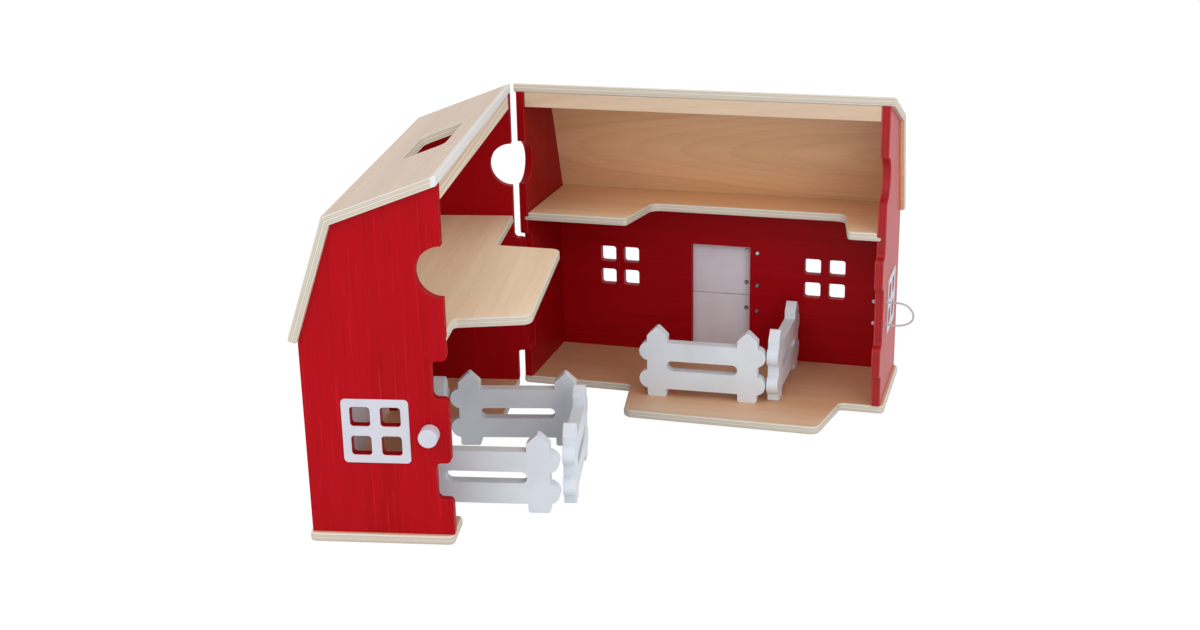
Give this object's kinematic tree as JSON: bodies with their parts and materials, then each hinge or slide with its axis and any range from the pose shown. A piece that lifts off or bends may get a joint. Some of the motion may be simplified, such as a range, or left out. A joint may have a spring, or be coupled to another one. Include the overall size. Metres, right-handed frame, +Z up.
{
  "type": "toy barn",
  "caption": "Wooden toy barn in two halves that open on a hinge, with lofts, opening doors, a roof hatch, a closing loop and loose fences.",
  "frame": {"origin": "on the table, under the middle of the right half's floor plate", "axes": "+X runs along the right half's ridge from the hinge to the latch gable, +Y from its open side to its back wall, +Z up"},
  "size_m": [0.574, 0.5691, 0.3441],
  "materials": {
    "natural_ply": "clear-lacquered plywood with whitewashed edges, satin",
    "red_stain": "red stain over plywood grain, satin",
    "white_paint": "white paint, satin",
    "door_white": "off-white paint, satin",
    "steel": "bright zinc plate",
    "elastic": "white covered elastic, matt"
  },
  "bodies": {
    "right_half": {"right_base": "natural_ply", "right_back_wall": "red_stain", "right_hinge_gable": "red_stain", "right_latch_gable": "red_stain", "right_loft": "natural_ply", "right_ridge_beam": "natural_ply", "right_upper_roof": "natural_ply", "right_lower_roof": "natural_ply", "right_gable_window_trim": "white_paint", "hinge_side_window_trim": "white_paint", "latch_side_window_trim": "white_paint", "loop_anchor": "elastic", "house_door_wall_plates": "steel", "house_door_pins": "steel", "house_door_wall_rivets": "steel", "upper_hinge_right_plate": "steel", "upper_hinge_pin": "steel", "lower_hinge_right_plate": "steel", "lower_hinge_pin": "steel", "right_hinge_screws": "steel"},
    "left_half": {"left_base": "natural_ply", "left_back_wall": "red_stain", "left_hinge_gable": "red_stain", "left_latch_gable": "red_stain", "left_loft": "natural_ply", "left_ridge_beam": "natural_ply", "left_upper_roof": "natural_ply", "left_lower_roof": "natural_ply", "left_gable_window_trim": "white_paint", "knob": "white_paint", "knob_screw": "steel", "barn_door_wall_plates": "steel", "barn_door_pins": "steel", "barn_door_wall_rivets": "steel", "upper_hinge_left_plate": "steel", "lower_hinge_left_plate": "steel", "left_hinge_screws": "steel"},
    "upper_door": {"upper_door_leaf": "door_white", "upper_door_plates": "steel", "upper_door_rivets": "steel"},
    "lower_door": {"lower_door_leaf": "door_white", "lower_door_plates": "steel", "lower_door_rivets": "steel"},
    "hinge_side_door": {"hinge_side_barn_door": "door_white", "hinge_side_door_plates": "steel", "hinge_side_door_rivets": "steel"},
    "latch_side_door": {"latch_side_barn_door": "door_white", "latch_side_door_plates": "steel", "latch_side_door_rivets": "steel"},
    "closing_loop": {"loop_cord": "elastic"},
    "porch_fence_front_panel": {"porch_fence_front": "white_paint"},
    "porch_fence_side_panel": {"porch_fence_side": "white_paint"},
    "pen_fence_rear_panel": {"pen_fence_rear": "white_paint"},
    "pen_fence_right_panel": {"pen_fence_right": "white_paint"},
    "pen_fence_front_panel": {"pen_fence_front": "white_paint"},
    "pen_fence_left_panel": {"pen_fence_left": "white_paint"}
  },
  "joints": [
    {"name": "barn_hinge", "type": "hinge", "parent": "right_half", "child": "left_half", "pos_m": [-0.204, -0.0672, 0.11], "axis": [0, 0, -1], "range_deg": [-28, 100]},
    {"name": "upper_door_hinge", "type": "hinge", "parent": "right_half", "child": "upper_door", "pos_m": [0.0393, 0.071, 0.116], "axis": [0, 0, -1], "range_deg": [0, 170]},
    {"name": "lower_door_hinge", "type": "hinge", "parent": "right_half", "child": "lower_door", "pos_m": [0.0393, 0.071, 0.047], "axis": [0, 0, -1], "range_deg": [0, 170]},
    {"name": "hinge_side_door_hinge", "type": "hinge", "parent": "left_half", "child": "hinge_side_door", "pos_m": [-0.32003, -0.19951, 0.0815], "axis": [0, 0, -1], "range_deg": [0, 170]},
    {"name": "latch_side_door_hinge", "type": "hinge", "parent": "left_half", "child": "latch_side_door", "pos_m": [-0.28539, -0.38643, 0.0815], "axis": [0, 0, 1], "range_deg": [0, 170]},
    {"name": "loop_swing", "type": "hinge", "parent": "right_half", "child": "closing_loop", "pos_m": [0.2015, -0.0545, 0.111], "axis": [0, 0, -1], "range_deg": [-10, 85]},
    {"name": "porch_fence_front_lift", "type": "slide", "parent": "right_half", "child": "porch_fence_front_panel", "axis": [0, 0, 1], "range_m": [0, 0.1]},
    {"name": "porch_fence_side_lift", "type": "slide", "parent": "right_half", "child": "porch_fence_side_panel", "axis": [0, 0, 1], "range_m": [0, 0.1]},
    {"name": "pen_fence_rear_lift", "type": "slide", "parent": "left_half", "child": "pen_fence_rear_panel", "axis": [0, 0, 1], "range_m": [0, 0.1]},
    {"name": "pen_fence_right_lift", "type": "slide", "parent": "left_half", "child": "pen_fence_right_panel", "axis": [0, 0, 1], "range_m": [0, 0.1]},
    {"name": "pen_fence_front_lift", "type": "slide", "parent": "left_half", "child": "pen_fence_front_panel", "axis": [0, 0, 1], "range_m": [0, 0.1]},
    {"name": "pen_fence_left_lift", "type": "slide", "parent": "left_half", "child": "pen_fence_left_panel", "axis": [0, 0, 1], "range_m": [0, 0.1]}
  ]
}
